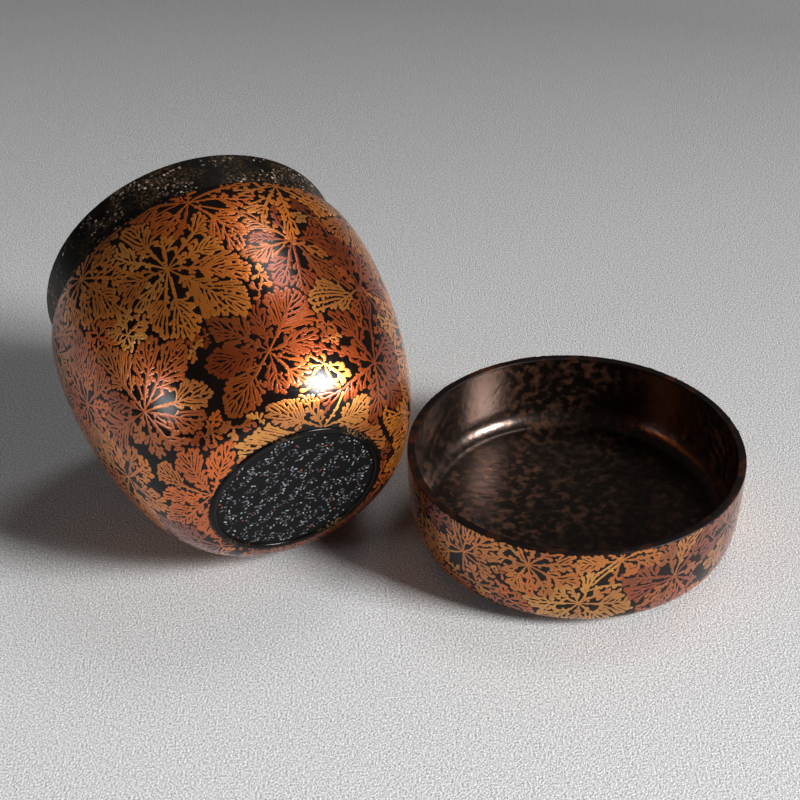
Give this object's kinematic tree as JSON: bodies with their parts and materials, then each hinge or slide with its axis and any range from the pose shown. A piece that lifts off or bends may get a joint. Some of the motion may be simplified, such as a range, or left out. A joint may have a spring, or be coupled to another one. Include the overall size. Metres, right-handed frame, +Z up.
{
  "type": "lacquered tea caddy",
  "caption": "Rounded lacquered tea caddy of turned wood: a vessel with an upright neck lies on its side beside its upturned lift-off lid.",
  "frame": {"origin": "on the table, at the centre of the bottom of the box around the vessel and the lid as they lie", "axes": "+Z up; +X from the vessel towards the lid; +Y away from the viewer, towards the vessel's mouth"},
  "size_m": [0.1372, 0.0864, 0.0711],
  "materials": {
    "turned_wood": "turned hardwood, hidden under lacquer",
    "black_lacquer": "polished black lacquer",
    "neck_lacquer": "black lacquer with pale gold flecks",
    "clouded_lacquer": "polished black lacquer clouded with bronze",
    "foot_lacquer": "black lacquer with silver-grey flakes",
    "edge_lacquer": "dark brown-black lacquer, worn along the edge",
    "gold_lacquer": "orange-gold sprinkled powder under clear lacquer"
  },
  "bodies": {
    "vessel": {"vessel_core": "turned_wood", "vessel_coat": "black_lacquer", "vessel_neck_coat": "neck_lacquer", "vessel_mouth_rim": "edge_lacquer", "vessel_lining": "black_lacquer", "foot_bead": "edge_lacquer", "foot_panel": "foot_lacquer"},
    "lid": {"lid_core": "turned_wood", "lid_coat": "black_lacquer", "lid_lining": "clouded_lacquer", "lid_rim": "edge_lacquer"}
  },
  "joints": [
    {"name": "lid_lift", "type": "slide", "parent": "vessel", "child": "lid", "axis": [0.2873, 0, 0.9578], "range_m": [0, 0.09]}
  ]
}
